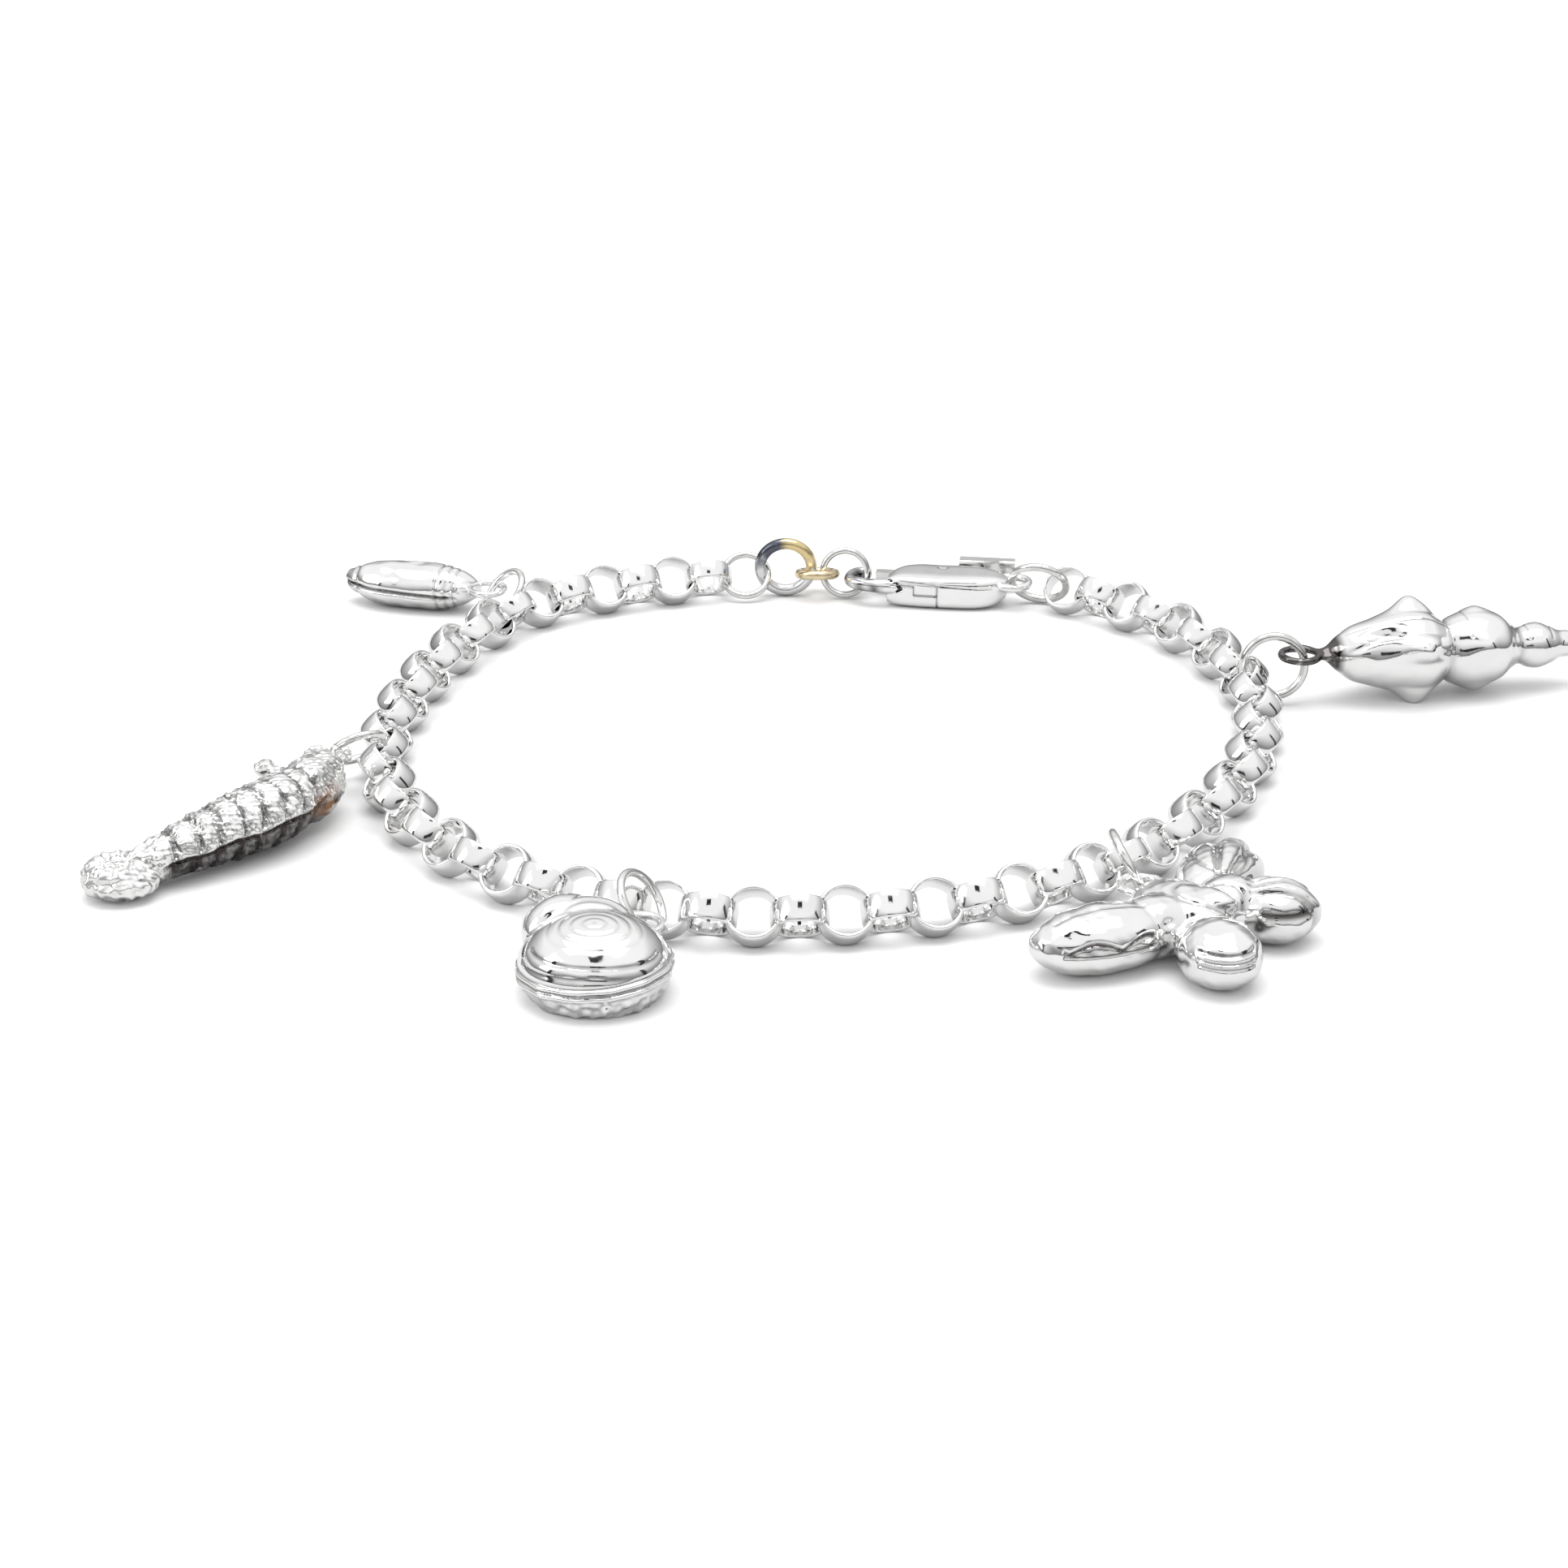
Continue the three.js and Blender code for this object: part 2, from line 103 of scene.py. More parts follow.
def silver(name, base, shade, dark_tone, rough=(0.05, 0.14), bump=0.0, grain=900.0, tint=None):
    """Polished metal: colour drifts from base to shade, with the dark colour mixed in where the mesh
    marks dirt and painted shade (darkened grooves, hollows and undersides), a tint where it marks that,
    and fine wear in gloss and bump."""
    material, tree, shader = nodes_of(name)
    shader.inputs["Metallic"].default_value = 1.0
    cloud = noise(tree, 320.0)
    colour = ramp(tree, cloud, ((0.35, base), (0.75, shade)))
    # Painted shade: this attribute darkens the charms' grooves, hollows and undersides towards the dark
    # colour, besides real dirt and tarnish.
    grime_and_painted_shade = tree.nodes.new("ShaderNodeAttribute")
    grime_and_painted_shade.attribute_name = "grime_and_painted_shade"
    colour = mix(tree, grime_and_painted_shade.outputs["Fac"], colour, dark_tone)
    if tint:
        marked = tree.nodes.new("ShaderNodeAttribute")
        marked.attribute_name = "tint"
        colour = mix(tree, marked.outputs["Fac"], colour, tint)
    spots = ramp(tree, noise(tree, 1400.0, 4.0), ((0.6, grey(0.0)), (0.72, grey(0.5))))
    colour = mix(tree, spots, colour, shade)
    tree.links.new(colour, shader.inputs["Base Color"])
    gloss = ramp(tree, noise(tree, 700.0, 4.0), ((0.3, grey(rough[0])), (0.7, grey(rough[1]))))
    tree.links.new(gloss, shader.inputs["Roughness"])
    if bump:
        dent = tree.nodes.new("ShaderNodeBump")
        dent.inputs["Strength"].default_value = bump
        dent.inputs["Distance"].default_value = 0.0001
        tree.links.new(noise(tree, grain, 5.0, 0.6), dent.inputs["Height"])
        tree.links.new(dent.outputs["Normal"], shader.inputs["Normal"])
    return material


BRIGHT = (0.97, 0.97, 0.965)
SOFT_GREY = (0.88, 0.88, 0.88)
POLISHED = silver("polished_silver", BRIGHT, SOFT_GREY, (0.10, 0.10, 0.11), bump=0.05)
WIRE_SILVER = silver("wire_silver", (0.9, 0.9, 0.89), (0.72, 0.72, 0.71), (0.3, 0.28, 0.26),
                     rough=(0.08, 0.2), bump=0.05)
SHELL_SILVER = silver("shell_silver", BRIGHT, (0.9, 0.9, 0.9), (0.13, 0.12, 0.12), bump=0.1)
HAMMERED = silver("hammered_silver", BRIGHT, (0.82, 0.82, 0.81), (0.06, 0.05, 0.05),
                  rough=(0.1, 0.24), bump=0.4, grain=1500.0, tint=(0.30, 0.17, 0.10))
TARNISHED = silver("tarnished_silver", (0.86, 0.86, 0.86), (0.62, 0.62, 0.64), (0.11, 0.12, 0.15),
                   rough=(0.12, 0.3), bump=0.15, tint=(0.80, 0.64, 0.34))
GILT = silver("gilt_silver", (0.88, 0.74, 0.48), (0.70, 0.56, 0.36), (0.2, 0.17, 0.13),
              rough=(0.12, 0.24), bump=0.05)


# ------------------------------------------------------------ mesh helpers
def mesh_object(name, verts, faces, smooth=True):
    mesh = bpy.data.meshes.new(name)
    mesh.from_pydata([tuple(v) for v in verts], [], [tuple(int(i) for i in f) for f in faces])
    mesh.update()
    if smooth:
        mesh.polygons.foreach_set("use_smooth", [True] * len(mesh.polygons))
    obj = bpy.data.objects.new(name, mesh)
    bpy.context.scene.collection.objects.link(obj)
    return obj


def grid_faces(rows, columns, closed_rows=False):
    """Quads of a grid of rows, each a closed ring of columns."""
    faces = []
    for i in range(rows if closed_rows else rows - 1):
        below = ((i + 1) % rows) * columns
        for j in range(columns):
            k = (j + 1) % columns
            faces.append((i * columns + j, i * columns + k, below + k, below + j))
    return faces


class Parts:
    """Closed skins gathered into one mesh."""

    def __init__(self):
        self.verts, self.faces, self.count = [], [], 0

    def take(self, verts, faces):
        self.verts.append(np.asarray(verts, float))
        self.faces += [tuple(i + self.count for i in face) for face in faces]
        self.count += len(verts)
        return self

    def ellipsoid(self, middle, radii, turn=0.0, rows=28, columns=48, rise=0.0):
        polar = np.linspace(0.02, math.pi - 0.02, rows)[:, None]
        round_ = np.linspace(0, 2 * math.pi, columns, endpoint=False)[None, :]
        points = np.stack([
            radii[0] * np.sin(polar) * np.cos(round_),
            radii[1] * np.sin(polar) * np.sin(round_),
            radii[2] * np.cos(polar) + 0 * round_,
        ], -1).reshape(-1, 3)
        spin = np.array(Matrix.Rotation(math.radians(turn), 3, "Z")
                        @ Matrix.Rotation(math.radians(rise), 3, "Y"))
        faces = [tuple(reversed(f)) for f in grid_faces(rows, columns)]
        last = (rows - 1) * columns
        faces.append(tuple(range(columns)))
        faces.append(tuple(last + i for i in reversed(range(columns))))
        return self.take(points @ spin.T + np.array(middle), faces)

    def tube(self, path, radii, sides=20, closed=False):
        """A round tube along a path; radii is one number or a (wide, high) pair a point."""
        path = np.asarray(path, float)
        sizes = np.array([(r, r) if np.isscalar(r) else tuple(r) for r in radii], float)
        ahead = np.roll(path, -1, 0) - np.roll(path, 1, 0)
        if not closed:
            ahead[0], ahead[-1] = path[1] - path[0], path[-1] - path[-2]
        ahead /= np.linalg.norm(ahead, axis=1)[:, None]
        side = np.cross(ahead, (0, 0, 1.0))
        weak = np.linalg.norm(side, axis=1) < 1e-3
        side[weak] = (1.0, 0, 0)
        side /= np.linalg.norm(side, axis=1)[:, None]
        over = np.cross(side, ahead)
        angle = np.linspace(0, 2 * math.pi, sides, endpoint=False)[None, :, None]
        skin = (path[:, None] + side[:, None] * np.cos(angle) * sizes[:, None, :1]
                + over[:, None] * np.sin(angle) * sizes[:, None, 1:])
        faces = grid_faces(len(path), sides, closed)
        if not closed:
            last = (len(path) - 1) * sides
            faces.append(tuple(reversed(range(sides))))
            faces.append(tuple(last + i for i in range(sides)))
        return self.take(skin.reshape(-1, 3), faces)

    def torus(self, middle, normal, radius, wire, segments=64, sides=16):
        turn = Vector((0, 0, 1)).rotation_difference(Vector(normal)).to_matrix()
        a = np.linspace(0, 2 * math.pi, segments, endpoint=False)[:, None]
        b = np.linspace(0, 2 * math.pi, sides, endpoint=False)[None, :]
        reach = radius + wire * np.cos(b)
        ring = np.stack([reach * np.cos(a), reach * np.sin(a), wire * np.sin(b) + 0 * a], -1)
        points = ring.reshape(-1, 3) @ np.array(turn).T + np.array(middle)
        return self.take(points, [tuple(reversed(f)) for f in grid_faces(segments, sides, True)])

    def make(self, name):
        return mesh_object(name, np.concatenate(self.verts), self.faces)


def coordinates(obj):
    co = np.empty(len(obj.data.vertices) * 3)
    obj.data.vertices.foreach_get("co", co)
    return co.reshape(-1, 3)


def normals(obj):
    out = np.empty(len(obj.data.vertices) * 3)
    obj.data.vertices.foreach_get("normal", out)
    return out.reshape(-1, 3)


def put_back(obj, co):
    obj.data.vertices.foreach_set("co", np.ascontiguousarray(co, float).ravel())
    obj.data.update()


def bake_modifiers(obj):
    bpy.context.view_layer.update()
    graph = bpy.context.evaluated_depsgraph_get()
    mesh = bpy.data.meshes.new_from_object(obj.evaluated_get(graph))
    obj.modifiers.clear()
    obj.data = mesh
    mesh.polygons.foreach_set("use_smooth", [True] * len(mesh.polygons))
    return obj


def fuse(obj, voxel, smooth=4, cutters=()):
    """Melts overlapping skins into one, less the cutters, with soft joins."""
    for cutter in cutters:
        cut = obj.modifiers.new("cut", "BOOLEAN")
        cut.operation, cut.object, cut.solver = "DIFFERENCE", cutter, "EXACT"
        cut.use_self = True
    melt = obj.modifiers.new("melt", "REMESH")
    melt.mode, melt.voxel_size = "VOXEL", voxel
    soften = obj.modifiers.new("soften", "SMOOTH")
    soften.factor, soften.iterations = 0.5, smooth
    bake_modifiers(obj)
    for cutter in cutters:
        bpy.data.objects.remove(cutter)
    return obj


def bend_of(co, middle, size):
    """0 outside a soft-edged round patch of that size, 1 in its middle."""
    away = np.linalg.norm((co - np.array(middle)) / np.array(size), axis=1)
    return np.clip(1.0 - away, 0, 1)


def lumps(co, scale, seed=0):
    """Smooth repeatable waviness from crossed sines, about -1 to 1."""
    draw = np.random.default_rng(seed)
    total = np.zeros(len(co))
    for _ in range(7):
        way = draw.normal(size=3)
        way /= np.linalg.norm(way)
        total += np.sin(co @ way / scale * draw.uniform(0.7, 1.5) * 2 * math.pi
                        + draw.uniform(0, 6.28))
    return total / 3.5


def groove(distance, width):
    return np.exp(-(distance / width) ** 2)


def mark(obj, amount, name="grime_and_painted_shade"):
    attribute = obj.data.attributes.get(name) or obj.data.attributes.new(name, "FLOAT", "POINT")
    attribute.data.foreach_set("value", np.clip(amount, 0, 1).astype(np.float32))


def sink(obj, depth):
    """Moves each vertex in along its normal by depth, and presses the result flat below."""
    co = coordinates(obj) - normals(obj) * depth[:, None]
    co[:, 2] = np.maximum(co[:, 2], FLAT)
    put_back(obj, co)


def finish_piece(obj, material, replaced, body="bracelet"):
    obj.data.transform(INTO_FRAME)
    obj.data.update()
    obj.data.materials.clear()
    obj.data.materials.append(material)
    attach(obj, body)
    if replaced:
        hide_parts(*replaced)
    return obj


# ------------------------------------------------------------ chain
ROUTE = np.array([
    (18.8, 26.4), (25.2, 20.3), (28.8, 12.8), (30.2, 5.0), (29.3, -3.5), (26.2, -12.0),
    (20.6, -20.3), (12.8, -26.6), (4.0, -29.7), (-6.2, -30.4), (-16.0, -27.3),
    (-24.0, -20.8), (-28.8, -12.0), (-30.3, -3.0), (-29.4, 5.5), (-27.0, 14.5),
    (-22.3, 23.0), (-14.6, 27.6), (-5.8, 29.7), (3.5, 29.9), (11.5, 28.9),
])
LINK_PITCH = 2.8
CHAIN_HEIGHT = 1.75
LAST_LINK = 59
LINK_OUTER = 1.85
HOOKED = {0: "tail_link", 8: "conch_link", 20: "butterfly_link", 31: "clam_link",
          43: "seahorse_link", 53: "olive_link", 59: "end_link"}


def route_points(per_span=200):
    """The closed centripetal curve through ROUTE, finely sampled."""
    count, out = len(ROUTE), []
    t = np.linspace(0, 1, per_span, endpoint=False)[:, None]
    for i in range(count):
        p0, p1, p2, p3 = (ROUTE[(i + k) % count] for k in (-1, 0, 1, 2))
        d0, d1, d2 = (np.linalg.norm(b - a) ** 0.5 for a, b in ((p0, p1), (p1, p2), (p2, p3)))
        m1 = ((p1 - p0) / d0 - (p2 - p0) / (d0 + d1) + (p2 - p1) / d1) * d1
        m2 = ((p2 - p1) / d1 - (p3 - p1) / (d1 + d2) + (p3 - p2) / d2) * d1
        out.append(p1 + m1 * t + (-3 * p1 + 3 * p2 - 2 * m1 - m2) * t**2
                   + (2 * p1 - 2 * p2 + m1 + m2) * t**3)
    return np.concatenate(out)


route = route_points()
closed = np.vstack([route, route[:1]])
run = np.concatenate([[0], np.cumsum(np.linalg.norm(np.diff(closed, axis=0), axis=1))])


def on_route(distance):
    place = distance % run[-1]
    return np.array([np.interp(place, run, closed[:, k]) for k in (0, 1)])


def link_profile(inner, outer, half):
    """Closed section of the band: flat inside, rounded edges, domed outside."""
    edge, points = 0.12, []
    for a in np.linspace(-math.pi / 2, -math.pi, 4):
        points.append((inner + edge + edge * math.cos(a), -half + edge + edge * math.sin(a)))
    for a in np.linspace(math.pi, math.pi / 2, 4):
        points.append((inner + edge + edge * math.cos(a), half - edge + edge * math.sin(a)))
    shoulder = inner + 0.17
    for a in np.linspace(math.pi / 2, -math.pi / 2, 13):
        bulge = abs(math.cos(a)) ** 0.8
        points.append((shoulder + (outer - shoulder) * bulge, half * math.sin(a)))
    return points


def add_link(parts, index):
    """One belcher link, its axis leaning 45 degrees to the side its place in the row asks."""
    here = index * LINK_PITCH
    middle = np.array([*on_route(here), CHAIN_HEIGHT])
    ahead = on_route(here + 0.05) - on_route(here - 0.05)
    ahead = np.array([*(ahead / np.linalg.norm(ahead)), 0.0])
    out = np.array([-ahead[1], ahead[0], 0.0]) * (1 if index % 2 else -1)
    sway = rng.uniform(-0.05, 0.05, 2)
    axis = out * (1 + sway[0]) + np.array([0, 0, 1.0])
    axis /= np.linalg.norm(axis)
    if index in HOOKED:
        profile = link_profile(1.56, LINK_OUTER, 0.7)
    else:
        profile = link_profile(1.5, LINK_OUTER, 0.86)
    across = np.cross(axis, ahead)
    section = np.array(profile)
    segments = 56
    skin = []
    for a in np.linspace(0, 2 * math.pi, segments, endpoint=False):
        spoke = ahead * math.cos(a) + across * math.sin(a)
        skin.append(middle + spoke * section[:, :1] + axis * section[:, 1:])
    parts.take(np.concatenate(skin), grid_faces(segments, len(section), True))


def build_chain():
    stops = sorted(HOOKED)
    for number, (first, last) in enumerate(zip(stops, stops[1:]), 1):
        parts = Parts()
        for index in range(first + 1, last):
            add_link(parts, index)
        finish_piece(parts.make(f"links_{number}"), POLISHED, [f"chain_{number}"])
    for index, node in HOOKED.items():
        parts = Parts()
        add_link(parts, index)
        finish_piece(parts.make(f"fine_{node}"), POLISHED, [node])


# ------------------------------------------------------------ rings
RINGS = (
    ("conch_ring", (32.0, 7.8, 2.9), 2.2, 0.3, (0, 1, -0.1)),
    ("butterfly_ring", (18.6, -24.6, 2.5), 2.2, 0.3, (0.88, 0.1, 0.47)),
    ("clam_ring", (-11.6, -31.3, 3.1), 1.95, 0.27, (0.78, -0.26, 0.57)),
    ("seahorse_ring", (-31.77, -6.66, 2.73), 1.88, 0.27, (-0.37, 0.64, 0.67)),
    ("olive_ring", (-24.17, 23.62, 2.63), 1.82, 0.27, (-0.65, -0.35, 0.68)),
    ("tail_ring", (16.6, 27.0, 2.1), 2.1, 0.3, (0.19, 0.8, 0.57)),
    ("plain_ring", (-5.95, 29.6, 1.8), 1.75, 0.26, (0, -0.7, 0.7)),
    ("tarnished_ring", (-2.85, 29.7, 2.45), 1.98, 0.44, (0, 1, 0.1)),
    ("gilt_ring", (-0.4, 29.7, 1.9), 1.4, 0.36, (0, 0.25, 1)),
    ("beak_ring", (1.75, 29.5, 2.05), 1.72, 0.26, (0, 1, -0.2)),
)
RING_LOOK = {"tarnished_ring": (TARNISHED, "tarnished_silver"), "gilt_ring": (GILT, "gilt_silver")}


def build_rings():
    for name, middle, radius, wire, normal in RINGS:
        obj = Parts().torus(middle, normal, radius, wire, 88, 20).make(f"fine_{name}")
        co = coordinates(obj)
        if name == "tarnished_ring":
            left = (-2.6 - co[:, 0]) / 1.2
            mark(obj, (co[:, 2] - 2.0) / 1.4 * np.clip(left + 1, 0, 1) + 0.35 * lumps(co, 0.9, 3))
            mark(obj, (co[:, 2] - 2.2) / 1.2 * np.clip(0.6 - left, 0, 1), "tint")
        else:
            mark(obj, 0.25 * lumps(co, 1.2, 5) - 0.05)
        material, slot = RING_LOOK.get(name, (WIRE_SILVER, "silver"))
        finish_piece(obj, material, [name])


# ------------------------------------------------------------ charms
BAILS = {
    "conch": (33.85, 7.9, 3.7), "butterfly": (19.2, -26.7, 2.0), "clam": (-11.6, -33.2, 2.5),
    "seahorse": (-33.7, -7.4, 2.5), "olive": (-25.6, 25.2, 2.3),
}
EYE_RADIUS = 1.32
EYE_WIRE = 0.28


def add_eye(parts, place, turn):
    """The charm's own loop, lying level, and the short neck that leans from it."""
    parts.torus(place, (0, 0, 1), EYE_RADIUS, EYE_WIRE, 48, 14)
    a = math.radians(turn)
    middle = (place[0] + 1.95 * math.cos(a), place[1] + 1.95 * math.sin(a), place[2])
    parts.ellipsoid(middle, (0.85, 0.75, 0.36), turn, 14, 24)


def spline(rows, steps=12):
    """A smooth line through rows of numbers, by Catmull-Rom on each column."""
    rows = np.array(rows, float)
    padded = np.vstack([2 * rows[0] - rows[1], rows, 2 * rows[-1] - rows[-2]])
    out = []
    for i in range(1, len(padded) - 2):
        p0, p1, p2, p3 = padded[i - 1:i + 3]
        t = np.linspace(0, 1, steps, endpoint=False)[:, None]
        out.append(0.5 * (2 * p1 + (p2 - p0) * t + (2 * p0 - 5 * p1 + 4 * p2 - p3) * t**2
                          + (3 * p1 - p0 - 3 * p2 + p3) * t**3))
    out.append(rows[-1:])
    return np.concatenate(out)


def loft(parts, rows, sides=40, steps=12):
    line = spline(rows, steps)
    parts.tube(line[:, :3], [tuple(r) for r in np.maximum(line[:, 3:5], 0.05)], sides)


def build_olive():
    parts = Parts()
    loft(parts, [
        (-26.4, 26.2, 1.8, 0.7, 0.5), (-27.5, 26.6, 1.8, 1.5, 1.2), (-29.0, 27.1, 1.75, 2.0, 1.7),
        (-31.5, 27.7, 1.75, 2.15, 1.75), (-34.0, 28.3, 1.75, 1.9, 1.65),
        (-35.8, 28.8, 1.85, 1.2, 1.1), (-36.7, 29.1, 2.1, 0.5, 0.45),
    ])
    parts.ellipsoid((-31.2, 27.9, 3.2), (1.3, 0.45, 0.35), 164, 12, 24)
    add_eye(parts, BAILS["olive"], 160)
    obj = fuse(parts.make("fine_olive_shell"), 0.09, 6)
    co = coordinates(obj)
    along = (co[:, :2] - (-26.4, 26.2)) @ np.array((-0.963, 0.268))
    facing = (co[:, :2] - (-26.4, 26.2)) @ np.array((-0.268, -0.963))
    front = np.clip(facing / 0.8, 0, 1)
    slit_height = 1.25 + 0.12 * np.sin(along / 3.2) + 0.05 * along
    slit = groove(co[:, 2] - slit_height, 0.16) * front * np.clip((along - 1.2) / 0.8, 0, 1)
    lip = groove(along - 9.6, 0.2) * 0.8
    wrinkle = groove(along - 2.2, 0.14) + groove(along - 2.9, 0.12) + groove(along - 1.6, 0.1)
    wave = 0.04 * np.sin(along * 3.0 + 3 * np.sin(co[:, 2])) * np.clip(1 - along / 7, 0, 1)
    sink(obj, 0.42 * slit + 0.09 * lip + 0.07 * wrinkle + wave + 0.02 * lumps(co, 1.2, 1))
    # Painted shade: the slit, lip and wrinkles are darkened, the front face darker towards the bottom; the
    # far end past the lip is darkened too.
    mark(obj, 0.95 * slit + 0.35 * lip + 0.3 * wrinkle
               + 0.35 * front * np.clip((1.2 - co[:, 2]) / 0.8, 0, 1)
               + 0.5 * np.clip((along - 9.8) / 0.6, 0, 1))
    finish_piece(obj, SHELL_SILVER, ["olive_shell"])


def build_seahorse():
    body = [
        (-33.8, -9.4, 2.2, 0.8, 0.9), (-33.6, -10.7, 2.5, 1.5, 1.7), (-34.0, -12.6, 2.55, 1.9, 2.15),
        (-34.9, -14.6, 2.4, 2.0, 2.1), (-36.2, -16.6, 2.4, 2.3, 2.35),
        (-38.2, -18.6, 2.25, 2.2, 2.2), (-40.4, -20.6, 2.0, 1.9, 1.95),
        (-42.4, -22.3, 1.7, 1.5, 1.6), (-44.0, -23.2, 1.4, 1.0, 1.2),
    ]
    line = spline(body, 12)
    parts = Parts()
    loft(parts, body)
    loft(parts, [(-34.2, -12.2, 2.6, 1.0, 1.1), (-35.4, -11.2, 2.5, 0.6, 0.65),
                 (-36.5, -10.4, 2.45, 0.42, 0.45), (-37.5, -9.8, 2.4, 0.42, 0.45)], 24, 8)
    parts.ellipsoid((-37.6, -9.7, 2.5), (0.72, 0.66, 0.66), 0, 16, 24)
    parts.ellipsoid((-33.3, -11.9, 3.5), (1.2, 1.5, 1.1), -20, 16, 24)
    for i in range(5):
        parts.ellipsoid((-32.7 - 0.2 * i, -10.8 - 0.95 * i, 4.1 - 0.08 * i),
                        (0.3, 0.36, 0.55), 20, 10, 16)
    coil = []
    for t in np.linspace(0, 1, 60):
        a = math.radians(35 + 520 * t)
        r = 1.75 * (1 - 0.75 * t)
        coil.append((-44.75 + 1.12 * r * math.cos(a), -24.0 + 0.95 * r * math.sin(a),
                     1.2 + 0.45 * t, 0.9 - 0.35 * t, 1.15 - 0.3 * t))
    parts.tube([c[:3] for c in coil], [c[3:] for c in coil], 24)
    parts.ellipsoid((-44.7, -24.0, 1.1), (2.5, 2.1, 1.05), 0, 20, 40)
    add_eye(parts, BAILS["seahorse"], -100)
    obj = fuse(parts.make("fine_seahorse"), 0.085, 2)
    co = coordinates(obj)
    lengths = np.concatenate([[0], np.cumsum(np.linalg.norm(np.diff(line[:, :3], axis=0), axis=1))])
    gaps = np.linalg.norm(co[:, None, :2] - line[None, :, :2], axis=2)
    nearest = gaps.argmin(1)
    along = lengths[nearest]
    trunk = np.clip((along - 4.2) / 0.8, 0, 1) * np.clip((17.0 - along) / 1.0, 0, 1)
    trunk *= gaps.min(1) < 3.0
    pitch = 1.5
    ridge_height = line[nearest, 2] + 0.15 + 0.08 * np.sin(along * 1.7)
    above = np.clip((co[:, 2] - ridge_height) / 0.25, 0, 1)
    below = np.clip((ridge_height - co[:, 2]) / 0.25, 0, 1) * trunk
    phase = 2 * math.pi * (along + 0.25 * co[:, 2] + 0.08 * np.sin(along * 2.3)) / pitch
    gap_line = (0.5 + 0.5 * np.cos(phase)) ** 3 * trunk * above
    crown = np.clip((co[:, 2] - 3.7) / 0.5, 0, 1)
    keel = groove(co[:, 2] - ridge_height + 0.1, 0.16) * trunk
    facets = np.abs(np.sin(phase / 2)) * below
    dents = 0.07 * lumps(co, 1.0, 4) + 0.05 * lumps(co, 0.5, 5)
    eye_dent = groove(np.linalg.norm(co - (-35.4, -13.1, 3.9), axis=1), 0.32)
    disc = np.clip((-42.6 - co[:, 0]) / 0.6, 0, 1)
    flutes = 0.06 * np.sin(np.arctan2(co[:, 1] + 24.0, co[:, 0] + 44.7) * 13) * disc
    sink(obj, 0.4 * gap_line * (1 - 0.6 * crown) + 0.3 * keel + 0.4 * below - 0.16 * facets
         + dents + 0.2 * eye_dent + flutes)
    dark_tone = bend_of(co, (-32.4, -14.6, 2.0), (2.3, 2.6, 2.0)) * 1.6
    # Painted shade: the gaps between the segments, the keel groove, the eye and the underside below the
    # ridge are darkened, with a little random variation.
    mark(obj, 0.7 * gap_line + 1.3 * keel + below * (1.15 - 0.35 * facets) + 0.6 * eye_dent
         + 0.1 * lumps(co, 0.8, 6))
    mark(obj, dark_tone * (0.6 + 0.5 * lumps(co, 1.1, 9)), "tint")
    finish_piece(obj, HAMMERED, ["seahorse"])


def build_clam():
    middle = np.array((-14.2, -37.2, 1.8))
    half = np.array((4.75, 4.35))
    parts = Parts()
    parts.ellipsoid(middle, (half[0] - 0.15, half[1] - 0.15, 3.2), 0, 60, 120)
    angles = np.linspace(0, 2 * math.pi, 160, endpoint=False)
    for lift, wire, inset in ((0.16, 0.2, 0.22), (-0.3, 0.2, 0.2)):
        wave = 0.04 * np.sin(angles * 13)
        rim = np.stack([
            middle[0] + (half[0] - inset + wave) * np.cos(angles),
            middle[1] + (half[1] - inset + wave) * np.sin(angles),
            middle[2] + lift + 0.25 * np.cos(angles) + 0.1,
        ], -1)
        parts.tube(rim, [wire] * len(rim), 14, True)
    parts.ellipsoid(middle + (-2.0, 2.6, 1.2), (2.7, 1.9, 2.05), 35, 20, 36)
    parts.ellipsoid(middle + (-0.4, 2.2, 1.5), (2.8, 1.8, 1.8), 0, 20, 36)
    add_eye(parts, BAILS["clam"], -110)
    obj = fuse(parts.make("fine_clam_shell"), 0.085, 6)
    co = coordinates(obj)
    centre = middle[:2] + (0.1, -0.7)
    ring = np.linalg.norm((co[:, :2] - centre) / (1.2, 0.92), axis=1)
    top = np.clip((co[:, 2] - middle[2] - 0.6) / 0.4, 0, 1)
    growth = (0.5 + 0.5 * np.cos(2 * math.pi * ring / 0.6)) ** 3 * top * np.clip((2.6 - ring) / 0.5, 0, 1)
    bands = sum(groove(ring - r, 0.09) for r in (3.2, 3.6)) * top * (co[:, 1] < middle[1] - 1.2)
    wrap = groove(ring - 3.0, 0.25) * top * (co[:, 1] > middle[1] + 0.8)
    under = np.clip((middle[2] - 0.35 - co[:, 2]) / 0.4, 0, 1)
    tilt = 0.05 * (co[:, 0] - middle[0])
    seam = groove(co[:, 2] - middle[2] - 0.03 - tilt, 0.09) * (ring > 2.5)
    edge = groove(co[:, 2] - middle[2] - 0.48 - tilt, 0.08) * (ring > 2.5)
    sink(obj, 0.035 * growth + 0.06 * bands + 0.08 * wrap + 0.13 * seam + 0.08 * edge
         + 0.09 * under * lumps(co, 0.8, 8) + 0.012 * lumps(co, 1.5, 2))
    # Painted shade: the growth rings, bands, wrap groove, the seam between the valves and the rim edge are
    # darkened, and patches of the underside.
    mark(obj, 0.16 * growth + 0.35 * bands + 0.2 * wrap + 0.75 * seam + 0.5 * edge
         + 0.25 * under * (lumps(co, 0.8, 11) > 0.3))
    finish_piece(obj, SHELL_SILVER, ["clam_shell"])


